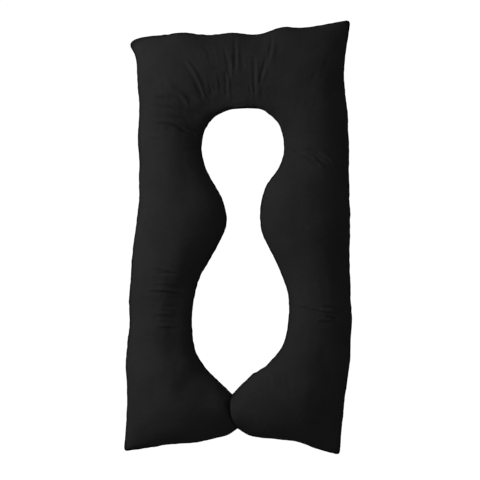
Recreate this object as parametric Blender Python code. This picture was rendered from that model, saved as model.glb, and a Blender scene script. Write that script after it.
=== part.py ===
"""Body pillow: a black U-shaped cushion that lies flat on its back.

Run it with blender --background --python part.py, or from Blender's text editor.

The pillow is one filled solid. It is a loft along the U, from the tip of the left leg, up the left
side, over the arch and down to the tip of the right leg. Each section runs from the outer seam to
the seam round the keyhole middle, with a crowned upper face and a lower face pressed flat where it
rests. The four outer corners are ears, pinched flat where two seams meet.

Metres, +Z up. The origin is on the resting surface, under the middle of the pillow.
+X is to the right and +Y runs from the leg tips to the arch.
"""

import math

import bmesh
import bpy
import numpy as np

MM = 0.001
PILLOW = "body_pillow"

# Sizes of the filled form
SEAM_HEIGHT_SHARE = 0.42  # height of the seam, as a share of the crown
PRESSED_IN = 0.014  # how far the resting face would bulge below the surface if nothing held it
PRESSED_EDGE = 0.004  # the pressed face rounds up into the side over about this height
EAR_REACH = 0.085  # length of an ear, from its point
EAR_DROOP = 0.034  # how far the point of an ear hangs below the seam line
TIP_ROUNDING = 0.075  # length over which a leg rounds off to its tip
TIP_FACE_SHARE = 0.62  # height of the pressed face at the tip, as a share of the leg's crown
TIP_BOW = 0.017  # how far the right tip bulges into the left one
TIP_BOW_LENGTH = 0.1  # the bulge fades out over this length of each leg
TIP_GAP = 0.0016  # clearance between the two leg tips

# Form of a crease, in widths of the crease
TROUGH_SHARPNESS = 1.3
RIDGE_OFFSET = 1.35
RIDGE_SHARE = 0.55  # height of the ridge beside a crease, as a share of the crease's depth
CREASE_FADE = 0.7  # a low number keeps a crease deep for longer towards its ends

# Mesh density
ACROSS = 14  # faces across each of the two sides of a section
PLAIN_STEP = 0.027  # spacing of sections where the cloth is smooth
CREASED_STEP = 0.0095  # spacing of sections where creases cross the arm

# Sections of the pillow, millimetres: a point on the outer seam, the point across from it on the
# keyhole seam, and the crown, which is the thickness at the middle. "fine" rows start a stretch
# where creases cross.
SECTION_COLUMNS = ("name", "outer_x", "outer_y", "inner_x", "inner_y", "crown", "mesh")
SECTIONS = (
    ("left leg tip", 2, -571, -14, -470, 158, "plain"),
    ("left leg nose", -29, -591, -38, -447, 162, "plain"),
    ("left leg low seam", -100, -609, -64, -422, 166, "plain"),
    ("left leg hem", -214, -621, -91, -395, 168, "plain"),
    ("left leg heel", -298, -636, -106, -374, 168, "plain"),
    ("left leg ear", -343, -644, -113, -363, 168, "plain"),
    ("left leg ankle", -334, -577, -124, -341, 166, "plain"),
    ("left leg calf", -330, -457, -131, -304, 162, "plain"),
    ("left leg shin", -332, -367, -134, -271, 158, "fine"),
    ("left belly", -322, -265, -134, -229, 154, "fine"),
    ("left belly top", -323, -157, -124, -154, 156, "fine"),
    ("left waist", -316, -73, -88, -74, 162, "plain"),
    ("left bulge low", -301, 44, -33, 35, 172, "plain"),
    ("left bulge", -295, 110, -41, 107, 172, "plain"),
    ("left neck", -292, 221, -92, 206, 162, "plain"),
    ("left shoulder", -297, 305, -105, 260, 158, "fine"),
    ("left shoulder top", -293, 389, -103, 298, 158, "fine"),
    ("left ear neck", -300, 485, -96, 323, 162, "plain"),
    ("left ear base", -305, 542, -88, 336, 166, "plain"),
    ("top left ear", -326, 584, -83, 345, 168, "plain"),
    ("arch left corner", -295, 601, -76, 354, 168, "plain"),
    ("arch long", -208, 612, -62, 367, 164, "fine"),
    ("arch left", -157, 617, -44, 377, 162, "fine"),
    ("arch first dip", -88, 609, -19, 385, 158, "fine"),
    ("arch middle", -16, 618, 7, 387, 158, "fine"),
    ("arch second dip", 59, 610, 38, 389, 158, "fine"),
    ("arch right", 140, 634, 68, 387, 162, "plain"),
    ("arch third dip", 197, 631, 86, 378, 164, "plain"),
    ("top right ear", 343, 657, 121, 346, 168, "plain"),
    ("right ear base", 332, 596, 130, 330, 168, "plain"),
    ("right ear neck", 321, 485, 140, 290, 164, "plain"),
    ("right shoulder top", 332, 359, 140, 251, 160, "fine"),
    ("right shoulder", 337, 269, 127, 213, 160, "fine"),
    ("right neck", 336, 173, 89, 160, 168, "plain"),
    ("right bulge", 339, 95, 70, 94, 172, "plain"),
    ("right bulge low", 339, 23, 73, 23, 172, "plain"),
    ("right waist", 338, -61, 112, -61, 162, "plain"),
    ("right belly top", 343, -175, 152, -163, 154, "fine"),
    ("right belly", 345, -265, 155, -235, 154, "plain"),
    ("right leg shin", 339, -361, 147, -295, 158, "plain"),
    ("right leg calf", 324, -469, 123, -344, 164, "plain"),
    ("right leg ankle", 315, -565, 94, -377, 166, "plain"),
    ("right leg ear", 312, -657, 67, -396, 168, "plain"),
    ("right leg heel", 236, -633, 46, -409, 168, "plain"),
    ("right leg hem", 179, -611, 35, -419, 166, "plain"),
    ("right leg nose", 38, -592, 3, -453, 162, "plain"),
    ("right leg tip", 2, -571, -14, -470, 158, "plain"),
)

# Creases pressed into the upper face, millimetres: where each starts and ends, its width and its
# depth. Each has a soft ridge beside it, to the left of its direction.
CREASE_COLUMNS = ("name", "start_x", "start_y", "end_x", "end_y", "width", "depth")
CREASES = (
    ("arch long", -163, 539, -91, 413, 13, 9),
    ("arch long second", -142, 515, -103, 428, 12, 5),
    ("arch corner soft", -205, 461, -145, 404, 15, 5),
    ("arch inner left", -25, 569, -17, 437, 12, 6),
    ("arch middle", -4, 608, -2, 503, 13, 6),
    ("arch inner right", 50, 533, 46, 419, 12, 6),
    ("arch strong", 103, 611, 86, 515, 13, 9),
    ("arch strong second", 86, 551, 67, 473, 12, 6),
    ("left shoulder long", -223, 344, -136, 311, 14, 7),
    ("left shoulder upper", -274, 419, -160, 383, 16, 5),
    ("left shoulder lower", -262, 323, -184, 302, 15, 3),
    ("left belly upper", -256, -91, -160, -97, 15, 4),
    ("left belly long", -268, -154, -154, -160, 14, 6),
    ("left belly middle", -256, -187, -166, -190, 15, 4),
    ("left belly lower", -247, -232, -166, -235, 16, 4),
    ("right shoulder long", 155, 254, 233, 227, 14, 6),
    ("right shoulder short", 251, 259, 299, 229, 13, 4),
    ("right belly long", 169, -202, 296, -223, 13, 6),
    ("right belly short", 251, -235, 305, -250, 13, 4),
)

CLOTH_COLOUR = (0.012, 0.012, 0.013, 1.0)
CLOTH_ROUGHNESS = 0.9


def clear_scene():
    for obj in list(bpy.data.objects):
        bpy.data.objects.remove(obj, do_unlink=True)


def as_records(columns, rows):
    return [dict(zip(columns, row)) for row in rows]


def spline_point(before, start, end, after, share):
    """A point between start and end on the centripetal Catmull-Rom curve through all four."""
    points = (before, start, end, after)
    knots = [0.0]
    for first, second in zip(points, points[1:]):
        knots.append(knots[-1] + max(np.linalg.norm(second - first), 1e-9) ** 0.5)
    at = knots[1] + share * (knots[2] - knots[1])

    def mix(low, high, a, b):
        return ((knots[high] - at) * a + (at - knots[low]) * b) / (knots[high] - knots[low])

    near = [mix(i, i + 1, points[i], points[i + 1]) for i in range(3)]
    wide = [mix(i, i + 2, near[i], near[i + 1]) for i in range(2)]
    return mix(1, 2, *wide)


def point_on(points, corners, span, share):
    """The curve through the points, span by span. It turns sharply at the corners."""
    start, end = points[span], points[span + 1]
    smooth_start = span > 0 and span not in corners
    smooth_end = span + 2 < len(points) and span + 1 not in corners
    before = points[span - 1] if smooth_start else 2 * start - end
    after = points[span + 2] if smooth_end else 2 * end - start
    return spline_point(before, start, end, after, share)


def stations():
    """(outer point, inner point, crown) of every section of the mesh, closely set at creases."""
    rows = as_records(SECTION_COLUMNS, SECTIONS)
    outer = [np.array((row["outer_x"], row["outer_y"])) * MM for row in rows]
    inner = [np.array((row["inner_x"], row["inner_y"])) * MM for row in rows]
    ears = {i for i, row in enumerate(rows) if row["name"].endswith("ear")}
    found = []
    for span, (row, after) in enumerate(zip(rows, rows[1:])):
        length = (math.dist(outer[span], outer[span + 1]) + math.dist(inner[span], inner[span + 1])) / 2
        step = CREASED_STEP if row["mesh"] == "fine" else PLAIN_STEP
        steps = max(2, round(length / step))
        for share in np.arange(steps) / steps:
            crown = row["crown"] + share * (after["crown"] - row["crown"])
            found.append(
                (point_on(outer, ears, span, share), point_on(inner, (), span, share), crown * MM)
            )
    found.append((outer[-1], inner[-1], rows[-1]["crown"] * MM))
    return found, [outer[i] for i in sorted(ears)]


def soft_floor(height):
    """The height kept at or above zero, rounded where it lifts off."""
    if height <= -PRESSED_EDGE:
        return 0.0
    if height >= PRESSED_EDGE:
        return height
    return (height + PRESSED_EDGE) ** 2 / (4 * PRESSED_EDGE)


def tip_share(distance):
    """Share of the crown that a leg has at this distance from its tip."""
    if distance >= TIP_ROUNDING:
        return 1.0
    rounded = math.sqrt(1 - (1 - distance / TIP_ROUNDING) ** 2)
    return TIP_FACE_SHARE + (1 - TIP_FACE_SHARE) * rounded


def crease_relief(x, y, creases):
    """How far the upper face moves at a point: down in each crease, up on the ridge beside it."""
    relief = 0.0
    for crease in creases:
        start = np.array((crease["start_x"], crease["start_y"])) * MM
        run = np.array((crease["end_x"], crease["end_y"])) * MM - start
        length = np.linalg.norm(run)
        away = np.array((x, y)) - start
        along = np.dot(away, run) / length**2
        if not 0 < along < 1:
            continue
        aside = (run[0] * away[1] - run[1] * away[0]) / length / (crease["width"] * MM)
        trough = math.exp(-((aside * TROUGH_SHARPNESS) ** 2))
        ridge = RIDGE_SHARE * math.exp(-((aside - RIDGE_OFFSET) ** 2))
        fade = math.sin(math.pi * along) ** CREASE_FADE
        relief += crease["depth"] * MM * fade * (ridge - trough)
    return relief


def skin_swell(plan):
    """Share of the crown at every point of the plan, from 0 at the seams to 1 on each section's ridge.

    A skin blown up over an outline stands as high as the square root of the solution of Poisson's
    equation over it. That gives round sides along the arms, and ears that thin out to their points.
    """
    points = plan.reshape(-1, 2)
    index = np.arange(len(points)).reshape(plan.shape[:2])
    near, far = index[:-1], index[1:]
    lower = np.stack((near[:, :-1], far[:, :-1], far[:, 1:]), axis=-1)
    upper = np.stack((near[:, :-1], far[:, 1:], near[:, 1:]), axis=-1)
    triangles = np.concatenate((lower.reshape(-1, 3), upper.reshape(-1, 3)))
    stiffness = np.zeros((len(points), len(points)))
    load = np.zeros(len(points))
    for corner in range(3):
        first, second, third = np.roll(triangles, corner, axis=1).T
        one, other = points[first] - points[third], points[second] - points[third]
        twice_area = np.abs(one[:, 0] * other[:, 1] - one[:, 1] * other[:, 0])
        weight = (one * other).sum(axis=1) / twice_area / 2
        for i, j in ((first, second), (second, first)):
            np.add.at(stiffness, (i, j), -weight)
            np.add.at(stiffness, (i, i), weight)
        np.add.at(load, first, twice_area / 6)
    free = index[:, 1:-1].ravel()
    height = np.zeros(len(points))
    height[free] = np.linalg.solve(stiffness[np.ix_(free, free)], load[free])
    swell = np.sqrt(np.maximum(height, 0)).reshape(plan.shape[:2])
    return swell / swell.max(axis=1, keepdims=True)


def plan_section(outer, inner, to_tip):
    """The points of one section seen from above, closer together near the seams."""
    bow = TIP_BOW * max(0.0, 1 - to_tip / TIP_BOW_LENGTH) ** 2
    points = []
    for step in range(ACROSS + 1):
        across = (1 - math.cos(math.pi * step / ACROSS)) / 2
        x, y = outer + (inner - outer) * across
        points.append((x - bow * 4 * across * (1 - across), y))
    return points


def section_ring(section, swells, crown, near_ear, to_tip, creases):
    """The closed ring of points round one section: upper face from outer to inner seam, then back."""
    seam = SEAM_HEIGHT_SHARE * crown
    thickness = crown * tip_share(to_tip)
    upper, lower = [], []
    for step, ((x, y), swell) in enumerate(zip(section, swells)):
        seam_here = seam - EAR_DROOP * near_ear * (1 - step / ACROSS) ** 2
        top = seam_here + (1 - SEAM_HEIGHT_SHARE) * thickness * swell
        bottom = seam_here - (SEAM_HEIGHT_SHARE * thickness + PRESSED_IN) * swell
        upper.append((x, y, top + swell * crease_relief(x, y, creases)))
        lower.append((x, y, soft_floor(bottom)))
    return upper + lower[-2:0:-1]


def pillow_rings():
    """One ring of points for each section, from the left leg's tip round to the right leg's tip."""
    creases = as_records(CREASE_COLUMNS, CREASES)
    found, ears = stations()
    middles = [(outer + inner) / 2 for outer, inner, _ in found]
    steps = [math.dist(a, b) for a, b in zip(middles, middles[1:])]
    walked = np.concatenate(([0.0], np.cumsum(steps)))
    to_tips = np.minimum(walked, walked[-1] - walked)
    plan = np.array(
        [plan_section(outer, inner, to_tip) for (outer, inner, _), to_tip in zip(found, to_tips)]
    )
    swells = skin_swell(plan)
    half = walked[-1] / 2
    plan[walked < half, :, 0] -= TIP_GAP / 2
    plan[walked >= half, :, 0] += TIP_GAP / 2
    centre = (plan.min(axis=(0, 1)) + plan.max(axis=(0, 1))) / 2
    rings = []
    for (outer, _, crown), to_tip, section, swell in zip(found, to_tips, plan, swells):
        nearest = min(math.dist(outer, ear) for ear in ears)
        near_ear = math.exp(-((nearest / EAR_REACH) ** 2))
        ring = section_ring(section, swell, crown, near_ear, to_tip, creases)
        rings.append([(x - centre[0], y - centre[1], z) for x, y, z in ring])
    return rings


def loft(name, rings):
    """A closed mesh through the rings, each end closed by a strip of faces between its two sides."""
    mesh = bpy.data.meshes.new(name)
    build = bmesh.new()
    loops = [[build.verts.new(point) for point in ring] for ring in rings]
    around = len(loops[0])
    for ring, following in zip(loops, loops[1:]):
        for i in range(around):
            j = (i + 1) % around
            build.faces.new((ring[i], ring[j], following[j], following[i]))
    for ring in (loops[0], loops[-1]):
        for i in range(ACROSS):
            below = ring[(around - i - 1) % around], ring[(around - i) % around]
            build.faces.new(dict.fromkeys((ring[i], ring[i + 1], *below)))
    bmesh.ops.recalc_face_normals(build, faces=build.faces)
    build.to_mesh(mesh)
    build.free()
    mesh.shade_smooth()
    return mesh


def cloth_material():
    material = bpy.data.materials.new("black cotton")
    material.use_nodes = True
    shader = material.node_tree.nodes["Principled BSDF"]
    shader.inputs["Base Color"].default_value = CLOTH_COLOUR
    shader.inputs["Roughness"].default_value = CLOTH_ROUGHNESS
    shader.inputs["Metallic"].default_value = 0.0
    return material


def make_pillow(collection):
    mesh = loft(PILLOW, pillow_rings())
    mesh.materials.append(cloth_material())
    pillow = bpy.data.objects.new(PILLOW, mesh)
    collection.objects.link(pillow)
    return pillow


def main():
    clear_scene()
    collection = bpy.data.collections.new("body pillow")
    bpy.context.scene.collection.children.link(collection)
    make_pillow(collection)


main()
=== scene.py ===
"""Body pillow: the finished look of a black U-shaped cushion, laid out as a Blender add-on.

Run as a script, it makes the cover as simulated cloth over the filled form, lays the folds into it,
sews the rim, and sets the stage. Metres, +Z up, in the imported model's own frame.
"""
import math

import bpy
import numpy as np
from bpy.props import FloatProperty, FloatVectorProperty, IntProperty, PointerProperty
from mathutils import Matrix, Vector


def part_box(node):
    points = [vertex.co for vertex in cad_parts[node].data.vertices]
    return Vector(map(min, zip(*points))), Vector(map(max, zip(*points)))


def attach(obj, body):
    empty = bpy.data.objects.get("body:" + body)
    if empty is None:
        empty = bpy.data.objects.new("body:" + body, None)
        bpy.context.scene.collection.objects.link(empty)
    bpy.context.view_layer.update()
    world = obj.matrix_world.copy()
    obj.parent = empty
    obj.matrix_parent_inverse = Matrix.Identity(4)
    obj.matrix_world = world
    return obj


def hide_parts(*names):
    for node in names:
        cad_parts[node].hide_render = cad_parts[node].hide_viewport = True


bl_info = {
    "name": "Body Pillow",
    "version": (1, 0, 0),
    "blender": (4, 5, 0),
    "location": "View3D > Sidebar > Pillow",
    "description": "Makes a black U-shaped body pillow with a creased cotton cover and a sewn rim",
    "category": "Object",
}

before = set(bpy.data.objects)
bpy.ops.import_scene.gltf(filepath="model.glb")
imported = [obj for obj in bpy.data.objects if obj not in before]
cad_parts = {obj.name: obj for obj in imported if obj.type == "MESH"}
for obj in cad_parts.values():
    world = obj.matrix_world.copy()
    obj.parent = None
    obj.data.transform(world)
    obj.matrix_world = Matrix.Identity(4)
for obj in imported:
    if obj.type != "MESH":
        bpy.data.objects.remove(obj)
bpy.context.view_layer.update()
SOLID = "body_pillow"
BODY = "root"
MM = 0.001

# The filled form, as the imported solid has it
SEAM_HEIGHT_SHARE = 0.42  # height of the seam, as a share of the crown
PRESSED_IN = 0.014  # how far the resting face would bulge below the surface if nothing held it
PRESSED_EDGE = 0.004  # the pressed face rounds up into the side over about this height
EAR_REACH = 0.09  # length of an ear, from its point
EAR_DROOP = 0.034  # how far the point of an ear hangs below the seam line
TIP_ROUNDING = 0.075  # length over which a leg rounds off to its tip
TIP_FACE_SHARE = 0.62  # height of the pressed face at the tip, as a share of the leg's crown
TIP_BOW = 0.017  # how far the right tip bulges into the left one
TIP_BOW_LENGTH = 0.1  # the bulge fades out over this length of each leg
TIP_GAP = 0.00002  # the two leg tips press together
CREST_EVENING = 0.09  # the swell's crest is evened out over about this length
EAR_LEVEL = 0.09  # what varies along the pillow rests at an ear, over this length to both sides
EAR_BLUNT = 0.017  # the seam turns the corner at an ear over this length on each side of its point
FORM_TOLERANCE = 0.006  # how far the form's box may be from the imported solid's, whose ears are sharp

# Sections of the pillow, millimetres: a point on the outer seam, the point across from it on the
# keyhole seam, the crown, which is the thickness at the middle, and how fine the mesh is up to the
# next section.
SECTION_COLUMNS = ("name", "outer_x", "outer_y", "inner_x", "inner_y", "crown", "mesh")
SECTIONS = (
    ("left leg tip", 2, -571, -14, -470, 158, "tip"),
    ("left leg nose", -29, -591, -38, -447, 162, "plain"),
    ("left leg low seam", -100, -609, -64, -422, 166, "plain"),
    ("left leg hem", -214, -621, -91, -395, 168, "plain"),
    ("left leg heel", -298, -636, -106, -374, 168, "plain"),
    ("left leg ear", -343, -644, -113, -363, 168, "plain"),
    ("left leg ankle", -334, -577, -124, -341, 166, "plain"),
    ("left leg calf", -330, -457, -131, -304, 162, "plain"),
    ("left leg shin", -332, -367, -134, -271, 158, "fine"),
    ("left belly", -322, -265, -134, -229, 154, "fine"),
    ("left belly top", -323, -157, -124, -154, 156, "fine"),
    ("left waist", -316, -73, -88, -74, 162, "plain"),
    ("left bulge low", -301, 44, -33, 35, 172, "plain"),
    ("left bulge", -295, 110, -41, 107, 172, "plain"),
    ("left neck", -292, 221, -92, 206, 162, "plain"),
    ("left shoulder", -297, 305, -105, 260, 158, "fine"),
    ("left shoulder top", -293, 389, -103, 298, 158, "fine"),
    ("left ear neck", -300, 485, -96, 323, 162, "plain"),
    ("left ear base", -305, 542, -88.9, 336.9, 166, "plain"),
    ("top left ear", -326, 584, -82.4, 345.9, 168, "plain"),
    ("arch left corner", -295, 601, -76, 354, 168, "plain"),
    ("arch long", -208, 612, -62, 367, 164, "fine"),
    ("arch left", -157, 617, -44, 377, 162, "fine"),
    ("arch first dip", -88, 609, -19, 385, 158, "fine"),
    ("arch middle", -16, 618, 7, 387, 158, "fine"),
    ("arch second dip", 59, 610, 38, 389, 158, "fine"),
    ("arch right", 140, 634, 68, 387, 162, "plain"),
    ("arch third dip", 197, 631, 86, 378, 164, "plain"),
    ("top right ear", 343, 657, 121, 346, 168, "plain"),
    ("right ear base", 332, 596, 130, 330, 168, "plain"),
    ("right ear neck", 321, 485, 140, 290, 164, "plain"),
    ("right shoulder top", 332, 359, 140, 251, 160, "fine"),
    ("right shoulder", 337, 269, 127, 213, 160, "fine"),
    ("right neck", 336, 173, 89, 160, 168, "plain"),
    ("right bulge", 339, 95, 70, 94, 172, "plain"),
    ("right bulge low", 339, 23, 73, 23, 172, "plain"),
    ("right waist", 338, -61, 112, -61, 162, "plain"),
    ("right belly top", 343, -175, 152, -163, 154, "fine"),
    ("right belly", 345, -265, 155, -235, 154, "plain"),
    ("right leg shin", 339, -361, 147, -295, 158, "plain"),
    ("right leg calf", 324, -469, 123, -344, 164, "plain"),
    ("right leg ankle", 315, -565, 94, -377, 166, "plain"),
    ("right leg ear", 312, -657, 67, -396, 168, "plain"),
    ("right leg heel", 236, -633, 46, -409, 168, "plain"),
    ("right leg hem", 179, -611, 35, -419, 166, "plain"),
    ("right leg nose", 38, -592, 3, -453, 162, "tip"),
    ("right leg tip", 2, -571, -14, -470, 158, "plain"),
)

# Folds in the upper face, millimetres: the place each belongs to, where it starts and ends, how far its
# middle stands to the left of the straight line, its width, and its height, negative for a trough.
FOLD_COLUMNS = ("name", "start_x", "start_y", "end_x", "end_y", "bend", "width", "height")
FOLDS = (
    ("arch long 1", -157, 539, -91, 407, 7, 4.3, 3.4),
    ("arch long 2", -163, 530, -100, 410, 6, 4.3, -4.1),
    ("arch long 3", -124, 464, -106, 416, 2, 3.6, -2.2),
    ("arch long 4", -139, 530, -91, 443, 6, 3.6, -1.5),
    ("arch short 1", -82, 467, -73, 422, 1, 3.6, -1.6),
    ("arch short 2", -70, 464, -67, 431, 1, 2.9, -1.2),
    ("arch corner 1", -217, 458, -145, 401, 8, 6.5, 4.2),
    ("arch corner 2", -202, 431, -151, 392, 6, 5.8, -3.6),
    ("arch corner 3", -184, 458, -136, 413, 7, 5.8, -1.8),
    ("arch high", -115, 575, -88, 539, 2, 6.5, 1.8),
    ("inner left 1", -38, 575, -23, 473, 2, 4.3, -3.1),
    ("inner left 2", -20, 557, -14, 479, 1, 3.6, 2.5),
    ("inner left 3", -34, 503, -31, 419, 0, 3.6, -2.2),
    ("inner left 4", -26, 491, -20, 407, -1, 3.6, 2.5),
    ("middle 1", -6, 629, -4, 503, -1, 4.3, -4.5),
    ("middle 2", 4, 623, 3, 488, 0, 4.3, 2.6),
    ("faint", 26, 545, 29, 500, 0, 3.6, 1.5),
    ("inner right 1", 51, 551, 52, 410, 0, 3.6, -2.8),
    ("inner right 2", 61, 539, 62, 419, 0, 4.3, 2.2),
    ("inner right 3", 34, 461, 43, 419, 1, 2.9, -1.6),
    ("inner right 4", 44, 455, 48, 416, 1, 2.9, 0.9),
    ("strong 1", 103, 629, 85, 503, 5, 4.3, -5.8),
    ("strong 2", 113, 623, 103, 527, 3, 5.0, 2.9),
    ("strong 3", 88, 563, 67, 461, 2, 4.3, -4.0),
    ("strong 4", 94, 545, 77, 467, 2, 4.3, 2.2),
    ("strong 5", 80, 623, 68, 527, 0, 18, -3.6),
    ("shoulder 1", -274, 362, -157, 325, 8, 4.3, -3.2),
    ("shoulder 2", -235, 352, -130, 314, 8, 4.3, 5.5),
    ("shoulder 3", -274, 352, -160, 319, 4, 3.6, 2.5),
    ("shoulder 4", -235, 343, -121, 304, 5, 5.0, -8.8),
    ("shoulder 5", -217, 329, -139, 304, 3, 4.3, -3.8),
    ("shoulder 6", -286, 335, -253, 338, 0, 3.6, 2.0),
    ("shoulder 7", -277, 326, -229, 329, 1, 2.9, 2.2),
    ("above shoulder 1", -256, 428, -193, 418, 2, 4.3, 3.8),
    ("above shoulder 2", -253, 418, -178, 407, 3, 3.6, -2.6),
    ("above shoulder 3", -256, 403, -154, 383, 5, 3.6, 3.2),
    ("above shoulder 4", -256, 394, -154, 371, 5, 3.6, -2.6),
    ("above shoulder 5", -262, 383, -169, 359, 5, 4.3, 2.4),
    ("above shoulder 6", -238, 364, -163, 349, 4, 3.6, -2.6),
    ("below shoulder 1", -277, 302, -223, 301, 1, 4.3, 2.2),
    ("below shoulder 2", -283, 292, -226, 293, 1, 3.6, -2.1),
    ("below shoulder 3", -271, 281, -232, 281, 1, 4.3, 1.9),
    ("below shoulder 4", -163, 260, -121, 259, 1, 3.6, -2.4),
    ("belly 1", -301, -80, -277, -80, 0, 3.6, 1.4),
    ("belly 2", -265, -83, -178, -104, 2, 3.6, 2.6),
    ("belly 3", -235, -104, -166, -109, 1, 3.6, -2.4),
    ("belly 4", -259, -107, -205, -121, 1, 5.0, 1.8),
    ("belly 5", -256, -127, -217, -128, 0, 2.9, -1.4),
    ("belly 6", -244, -139, -157, -155, 2, 5.0, -3.0),
    ("belly 7", -268, -152, -154, -164, 2, 4.3, 4.0),
    ("belly 8", -256, -160, -154, -169, 1, 4.0, -3.5),
    ("belly 9", -199, -171, -154, -172, 0, 3.6, 1.8),
    ("belly 10", -205, -178, -151, -181, 0, 4.3, -2.0),
    ("belly 11", -283, -172, -229, -181, 1, 5.8, 1.8),
    ("belly 12", -265, -197, -199, -201, 0, 5.0, 1.2),
    ("belly 13", -241, -205, -193, -216, 0, 5.0, 2.0),
    ("belly 14", -214, -199, -157, -210, 0, 4.3, -2.0),
    ("belly 15", -259, -223, -184, -227, 0, 3.6, 2.4),
    ("belly 16", -247, -233, -178, -240, 0, 6.5, -2.6),
    ("belly 17", -238, -250, -166, -252, 0, 3.6, -1.6),
    ("belly 18", -241, -260, -181, -264, 0, 3.6, 2.2),
    ("belly 19", -244, -268, -172, -273, 0, 4.3, -1.6),
    ("right shoulder 1", 140, 263, 245, 215, 7, 4.3, -6.0),
    ("right shoulder 2", 179, 253, 260, 209, 7, 4.7, 7.0),
    ("right shoulder 3", 197, 263, 245, 238, 4, 3.6, -2.4),
    ("right shoulder 4", 212, 269, 281, 229, 2, 4.3, -4.5),
    ("right shoulder 5", 245, 254, 302, 215, 2, 4.3, 6.0),
    ("right shoulder 6", 260, 263, 311, 232, 2, 3.6, -2.5),
    ("right belly 1", 170, -198, 215, -202, 0, 2.9, 2.8),
    ("right belly 2", 158, -203, 287, -229, 0, 3.2, -4.4),
    ("right belly 3", 248, -212, 305, -223, 1, 4.3, 5.0),
    ("right belly 4", 257, -204, 308, -212, 0, 3.6, -3.8),
    ("right belly 5", 266, -233, 302, -241, 0, 2.9, -5.6),
    ("right belly 6", 239, -242, 290, -245, 0, 3.6, 3.0),
    ("right belly 7", 242, -250, 278, -250, 0, 2.9, -2.5),
    ("tip 1", -28, -484, -27, -514, 0, 5.0, -9),
    ("tip 2", -19, -469, -29, -502, 0, 6.5, -3),
    ("tip 3", -29, -490, -23, -541, 0, 5.8, -2),
    ("right tip 1", 8, -457, 19, -484, 1, 3.6, -4.5),
    ("right tip 2", 22, -460, 29, -481, 0, 3.6, 2),
    ("right leg 1", 89, -400, 101, -448, 2, 4.3, -2.4),
    ("right leg 2", 101, -400, 110, -448, 2, 4.3, 1.8),
    ("right leg 3", 125, -400, 133, -442, 1, 3.6, -1.8),
    ("right leg 4", 152, -427, 161, -472, 1, 4.3, -1.5),
    ("left ear 1", -292, 580, -271, 574, 0, 5.0, -2),
    ("left ear 2", -304, 572, -277, 542, 2, 5.8, 2),
    ("arch fan 1", -133, 587, -103, 533, 2, 4.3, 1.1),
    ("arch fan 2", -103, 593, -79, 527, 2, 4.3, -1.1),
    ("arch fan 3", -70, 593, -55, 515, 1, 4.3, 1.0),
    ("arch fan 4", -64, 497, -55, 419, 1, 3.6, 1.1),
    ("arch fan 5", -55, 485, -47, 416, 1, 3.6, -1.1),
    ("arch fan 6", 14, 557, 17, 491, 0, 3.6, -1.0),
    ("arch fan 7", 38, 563, 38, 485, 0, 4.3, 1.1),
    ("arch fan 8", 77, 455, 74, 407, 0, 3.6, -1.0),
    ("arch fan 9", 131, 581, 116, 521, 1, 4.3, -1.1),
)
FOLD_FADE = 0.5  # below 1, a fold keeps its height nearly to its ends
FOLD_WANDER = 0.2  # how far a fold strays from its line, in its own widths
FOLD_WAVE = 0.07  # about the length over which it strays to one side and back
FOLD_STRAYS = ((0.6, 1), (0.4, 2.3))  # share and quickness of the two waves that a fold strays by
FOLD_SEED = 11

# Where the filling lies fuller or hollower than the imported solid, millimetres: a straight line, how
# far the form reaches on each side of it, and its height.
FORM_COLUMNS = ("name", "start_x", "start_y", "end_x", "end_y", "reach", "height")
BROAD_FORMS = (
    ("left arm, hollow", -160, 251, -151, 143, 38, -6),
    ("left belly's top, full", -175, -37, -175, -109, 34, 5),
    ("left leg, full", -208, -403, -190, -502, 56, 10),
    ("left belly, hollow", -172, -157, -190, -352, 36, -8),
    ("left shoulder, hollow", -115, 359, -109, 275, 58, -9),
    ("right arm's top, full", 194, 365, 182, 311, 50, 4),
    ("right arm's outer top, full", 266, 443, 260, 329, 40, 5),
    ("left tip, hollow", -79, -421, -70, -577, 46, -9),
    ("right tip, full", 2, -427, -1, -577, 34, 8),
    ("right leg's inner side, full", 38, -463, 92, -397, 34, 3),
    ("right leg's outer side, low", 293, -322, 272, -607, 62, -14),
)

# Zones where the cover was cut longer than the form, so that it gathers: the section each is centred
# on, how far it reaches along the pillow, and the share of spare length.
ZONE_COLUMNS = ("section", "reach", "share")
SPARE_CLOTH = (
    ("left belly top", 0.12, 0.05),
    ("left shoulder", 0.11, 0.05),
    ("arch left", 0.1, 0.05),
    ("arch middle", 0.13, 0.06),
    ("right shoulder", 0.07, 0.015),
    ("right belly top", 0.08, 0.04),
)
FULL_SPARE = 0.1  # the share of spare length that a full weight of the cloth's vertex group stands for

# Zones where the cover stands fuller over one seam, so that the section is less round there
FULL_OUTER_SIDES = (
    ("right shoulder top", 0.25, 0.16),
    ("right belly", 0.25, 0.12),
)
FULL_INNER_SIDES = (
    ("left leg tip", 0.2, 0.2),
    ("left belly top", 0.25, 0.25),
    ("left shoulder", 0.2, 0.3),
    ("arch middle", 0.28, 0.8),
)

# Zones where the inner seam is drawn up towards the upper face
RAISED_INNER_SEAMS = (("arch second dip", 0.2, 0.35),)

# Fineness of the form, of the cloth while it settles, and of the finished cover
FORM_STEP = {"plain": 0.015, "fine": 0.02, "tip": 0.01}
FORM_TURNS = 14
CLOTH_STEP = dict.fromkeys(FORM_STEP, 0.0065)
CLOTH_TURNS = 18
COVER_STEP = {"plain": 0.007, "fine": 0.003, "tip": 0.0018}
COVER_TURNS = 96
EAR_STEPS = 6  # sections round the corner of an ear
UNDER_TURNS = 3  # the plain underside takes one loop where the upper face has this many
SEAM_TURNS = (0.011, 0.022, 0.048)  # extra loops beside each seam, as angles of the section

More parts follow.
